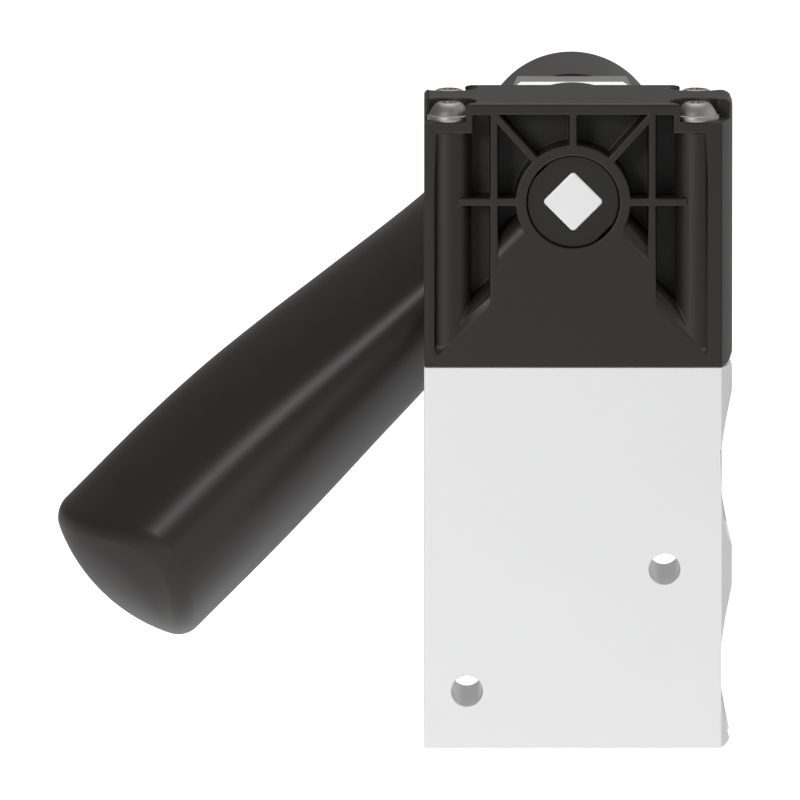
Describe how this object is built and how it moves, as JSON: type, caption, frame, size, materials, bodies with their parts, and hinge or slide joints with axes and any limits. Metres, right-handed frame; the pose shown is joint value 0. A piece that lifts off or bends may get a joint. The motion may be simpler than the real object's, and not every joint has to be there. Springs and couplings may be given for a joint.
{
  "type": "hand lever air valve",
  "caption": "Hand lever 3/2-way air valve: aluminium body with threaded ports, black ribbed actuator housing, square shaft and a long rounded hand lever.",
  "frame": {"origin": "on the flat mounting face, under the spool's axis and level with port 2", "axes": "+Z along the spool towards the actuator housing, -Y out of the mounting face, +X towards ports 1 and 3"},
  "size_m": [0.1166, 0.084, 0.1119],
  "materials": {
    "body_aluminium": "satin light grey coat on aluminium",
    "plug_aluminium": "turned, satin",
    "housing_plastic": "black glass-filled plastic, fine texture",
    "lever_plastic": "black plastic, smooth satin",
    "disc_plastic": "black, low friction",
    "screw_steel": "black zinc, satin",
    "inner_steel": "ground",
    "shaft_aluminium": "drawn bar, satin",
    "seal_rubber": "nitrile, matte",
    "guide_bronze": "sintered bronze",
    "holder_plastic": "grey, smooth",
    "label_white": "white, blank"
  },
  "bodies": {
    "root": {"valve_body": "body_aluminium", "actuator_housing": "housing_plastic", "housing_gasket": "seal_rubber", "housing_screws": "screw_steel", "rod_guide": "guide_bronze", "rod_wiper": "seal_rubber", "end_plug": "plug_aluminium", "end_plug_seal": "seal_rubber"},
    "lever": {"lever_shaft": "shaft_aluminium", "near_rotor_disc": "disc_plastic", "far_rotor_disc": "disc_plastic", "rotor_disc_seals": "seal_rubber", "drive_crank": "inner_steel", "crank_pin": "inner_steel", "crank_bush": "guide_bronze", "detent_ball": "inner_steel", "detent_spring": "inner_steel", "thrust_washer": "disc_plastic", "lever_handle": "lever_plastic", "lever_washer": "inner_steel", "lever_screw": "inner_steel", "hub_cap": "lever_plastic", "label_holder": "holder_plastic", "position_label": "label_white"},
    "spool": {"spool": "inner_steel", "spool_seals": "seal_rubber", "spool_fork": "inner_steel", "fork_pin": "inner_steel"}
  },
  "joints": [
    {"name": "lever_turn", "type": "hinge", "parent": "root", "child": "lever", "pos_m": [0, 0.013, 0.0646], "axis": [0, -1, 0], "range_deg": [0, 30]},
    {"name": "spool_slide", "type": "slide", "parent": "root", "child": "spool", "axis": [0, 0, -1], "range_m": [0, 0.00416]}
  ],
  "couplings": [
    {"joint": "spool_slide", "follows": "lever_turn", "m_per_rad": 0.0079088}
  ]
}
